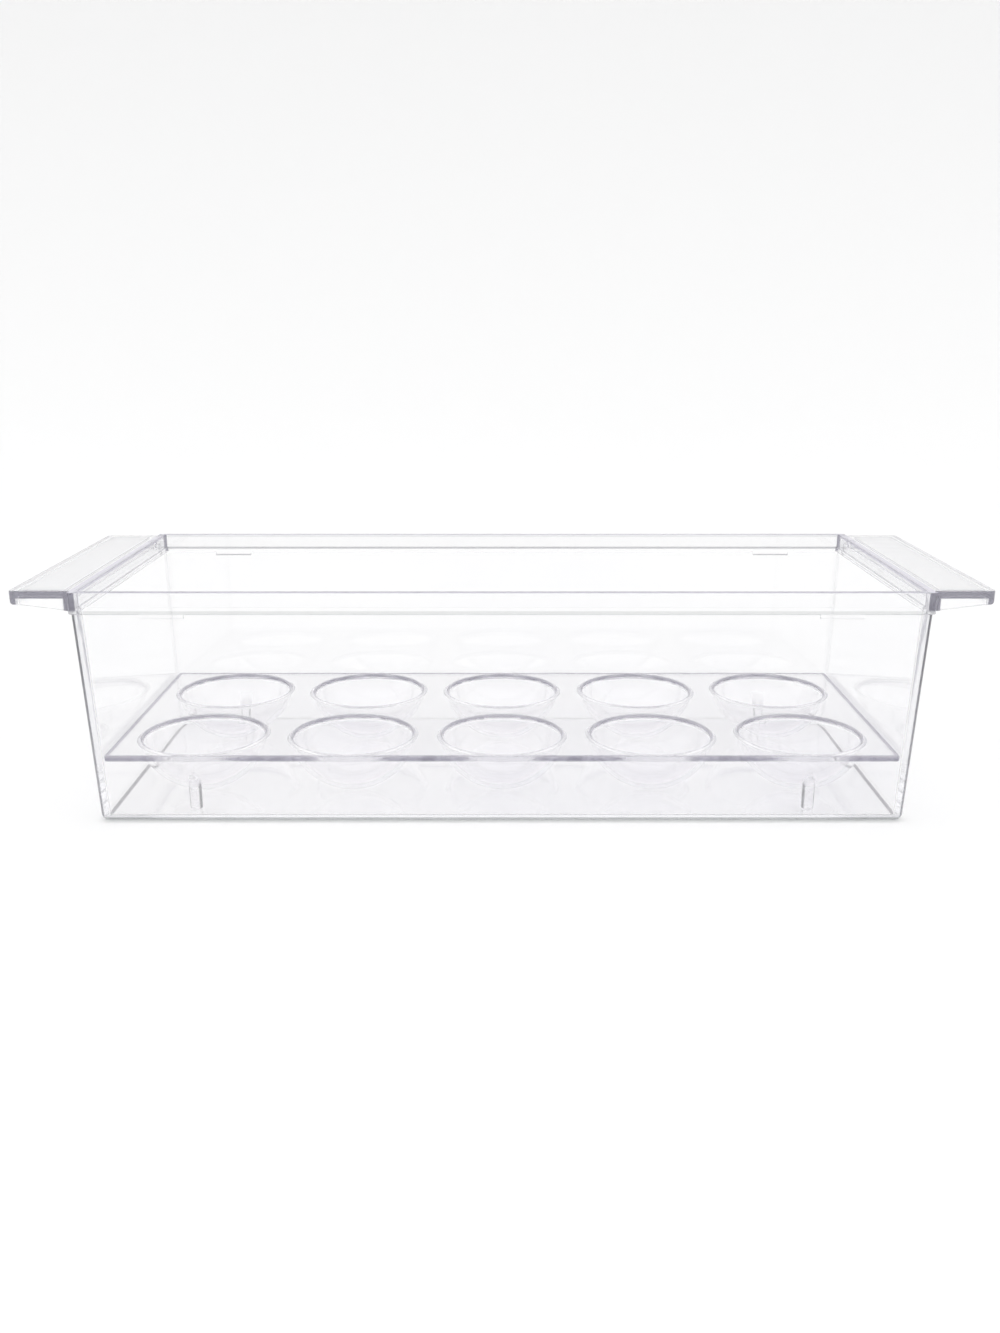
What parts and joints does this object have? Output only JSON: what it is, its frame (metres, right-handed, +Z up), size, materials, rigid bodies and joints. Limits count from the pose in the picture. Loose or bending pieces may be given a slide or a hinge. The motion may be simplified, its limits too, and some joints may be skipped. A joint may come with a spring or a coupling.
{
  "type": "egg keeper",
  "caption": "Clear rectangular kitchen bin with a finger handle at each end and a lift-out cup tray on feet that holds eggs in two rows.",
  "frame": {"origin": "middle of the flat underside of the bin", "axes": "+X along the bin from handle to handle, -Y is the front long side, +Z up"},
  "size_m": [0.278, 0.097, 0.07],
  "materials": {
    "clear_polystyrene": "clear gloss moulding, faint violet-grey in its thick edges",
    "clear_polystyrene_tray": "clear gloss moulding with a slight violet tint"
  },
  "bodies": {
    "bin": {"bin": "clear_polystyrene"},
    "tray": {"egg_tray": "clear_polystyrene_tray"}
  },
  "joints": [
    {"name": "tray_lift", "type": "slide", "parent": "bin", "child": "tray", "axis": [0, 0, 1], "range_m": [0, 0.08]}
  ]
}
